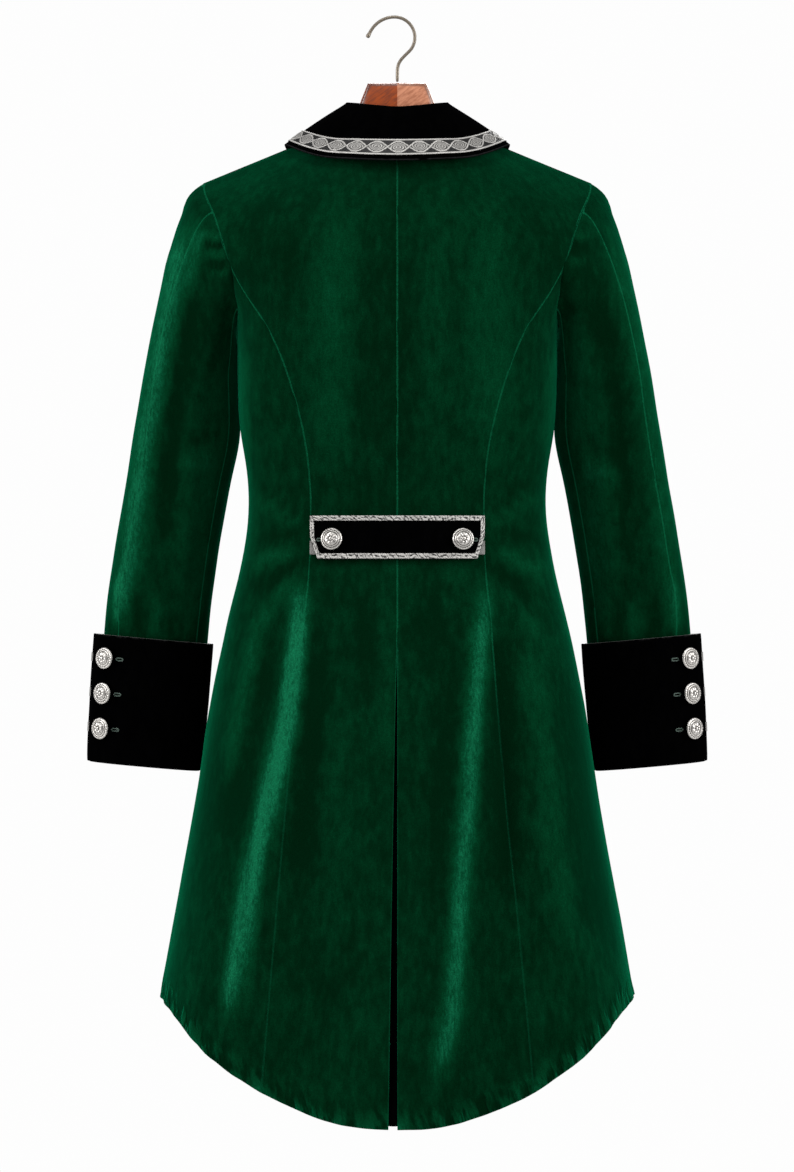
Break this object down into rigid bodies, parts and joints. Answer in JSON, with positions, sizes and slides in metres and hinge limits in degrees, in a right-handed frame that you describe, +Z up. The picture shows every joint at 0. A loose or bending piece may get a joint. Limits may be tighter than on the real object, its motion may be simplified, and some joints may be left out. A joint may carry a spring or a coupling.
{
  "type": "velvet tail coat on a wooden hanger",
  "caption": "Fitted green velvet tail coat with black velvet collar, turned-back cuffs and half belt, silver braid and buttons, filled out on a wooden hanger.",
  "frame": {"origin": "the inside top of the hanger's hook, where it rests on a rail", "axes": "+Z up; the coat's back faces -Y and its front +Y; the wearer's right arm is at +X"},
  "size_m": [0.6484, 0.3289, 1.1343],
  "materials": {
    "green_velvet": "cotton velvet, deep bottle green, short nap",
    "black_velvet": "cotton velvet, black, short nap",
    "silver_braid": "woven metal-thread braid, silver grey",
    "silver_metal": "cast and polished silver-coloured metal, darkened in the hollows",
    "hanger_wood": "red-brown wood, satin lacquer",
    "hook_steel": "nickel-plated wire"
  },
  "bodies": {
    "root": {"back_center_left": "green_velvet", "back_center_right": "green_velvet", "back_side_left": "green_velvet", "back_side_right": "green_velvet", "belt_braid": "silver_braid", "belt_button_left": "silver_metal", "belt_button_right": "silver_metal", "belt_tab_left": "silver_braid", "belt_tab_right": "silver_braid", "collar": "black_velvet", "collar_braid": "silver_braid", "cuff_button_left_1": "silver_metal", "cuff_button_left_2": "silver_metal", "cuff_button_left_3": "silver_metal", "cuff_button_right_1": "silver_metal", "cuff_button_right_2": "silver_metal", "cuff_button_right_3": "silver_metal", "cuff_left": "black_velvet", "cuff_piping_left": "silver_braid", "cuff_piping_right": "silver_braid", "cuff_right": "black_velvet", "cuff_tab_left_1": "silver_braid", "cuff_tab_left_2": "silver_braid", "cuff_tab_left_3": "silver_braid", "cuff_tab_right_1": "silver_braid", "cuff_tab_right_2": "silver_braid", "cuff_tab_right_3": "silver_braid", "front_button_1": "silver_metal", "front_button_2": "silver_metal", "front_button_3": "silver_metal", "front_button_4": "silver_metal", "front_button_5": "silver_metal", "front_center_left": "green_velvet", "front_center_right": "green_velvet", "front_side_left": "green_velvet", "front_side_right": "green_velvet", "half_belt": "black_velvet", "hanger_arm_left": "hanger_wood", "hanger_arm_right": "hanger_wood", "hanger_hook": "hook_steel", "sleeve_top_left": "green_velvet", "sleeve_top_right": "green_velvet", "sleeve_under_left": "green_velvet", "sleeve_under_right": "green_velvet", "slit_underlay": "black_velvet"}
  },
  "joints": []
}
